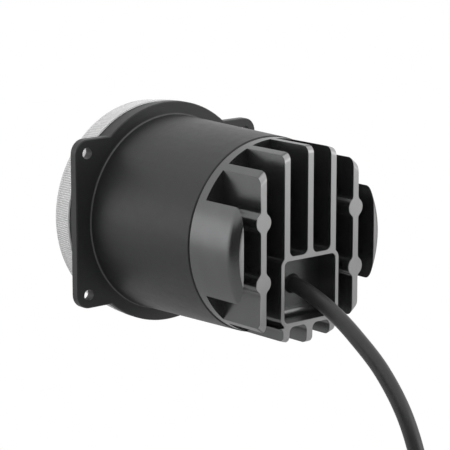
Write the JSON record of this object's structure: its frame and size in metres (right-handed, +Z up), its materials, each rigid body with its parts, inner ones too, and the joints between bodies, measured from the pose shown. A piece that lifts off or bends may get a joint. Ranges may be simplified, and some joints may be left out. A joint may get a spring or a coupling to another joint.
{
  "type": "fog light",
  "caption": "Round sealed LED fog lamp: clear ribbed lens, four-eared mounting plate, black tube housing, finned heat sink with a cable pocket, and a hanging pigtail with a sealed connector.",
  "frame": {"origin": "centre of the four mounting holes, on the rear face of the mounting plate", "axes": "+Y along the optical axis towards the heat sink (the lens faces -Y), +Z up, X along the plate's width"},
  "size_m": [0.0966, 0.1877, 0.2707],
  "materials": {
    "lens_clear": "clear moulded plastic",
    "housing_black": "satin anthracite",
    "sink_cast": "satin dark anodised casting",
    "reflector_mirror": "vacuum-metallised",
    "bezel_grey": "fine grain",
    "seal_rubber": "matt",
    "cable_black": "satin jacket",
    "screw_steel": "zinc plated",
    "pad_silicone": "matt thermal pad",
    "board_white": "white solder mask",
    "board_green": "green solder mask",
    "chip_black": "moulded epoxy",
    "capacitor_can": "satin can",
    "inductor_copper": "enamelled winding",
    "led_phosphor": "phosphor under silicone",
    "lead_red": "thin insulation",
    "connector_black": "glass-filled nylon",
    "pin_brass": "tin-plated brass",
    "lock_orange": "moulded nylon"
  },
  "bodies": {
    "lamp": {"lens": "lens_clear", "lens_seal": "seal_rubber", "lens_ring": "housing_black", "inner_bezel": "bezel_grey", "reflector": "reflector_mirror", "housing": "housing_black", "vent_cap": "seal_rubber", "sink_seal": "seal_rubber", "heat_sink": "sink_cast", "sink_screws": "screw_steel", "thermal_pad": "pad_silicone", "led_board": "board_white", "led_chips": "led_phosphor", "led_board_screws": "screw_steel", "driver_board": "board_green", "driver_screws": "screw_steel", "driver_chips": "chip_black", "capacitors": "capacitor_can", "inductor": "inductor_copper", "led_leads": "lead_red", "power_leads": "lead_red", "cable_gland": "seal_rubber", "cable": "cable_black", "connector_boot": "seal_rubber", "connector_shell": "connector_black", "connector_pins": "pin_brass"},
    "wedge_lock": {"wedge_lock": "lock_orange"}
  },
  "joints": [
    {"name": "wedge_lock_slide", "type": "slide", "parent": "lamp", "child": "wedge_lock", "axis": [0, 0, -1], "range_m": [0, 0.004]}
  ]
}
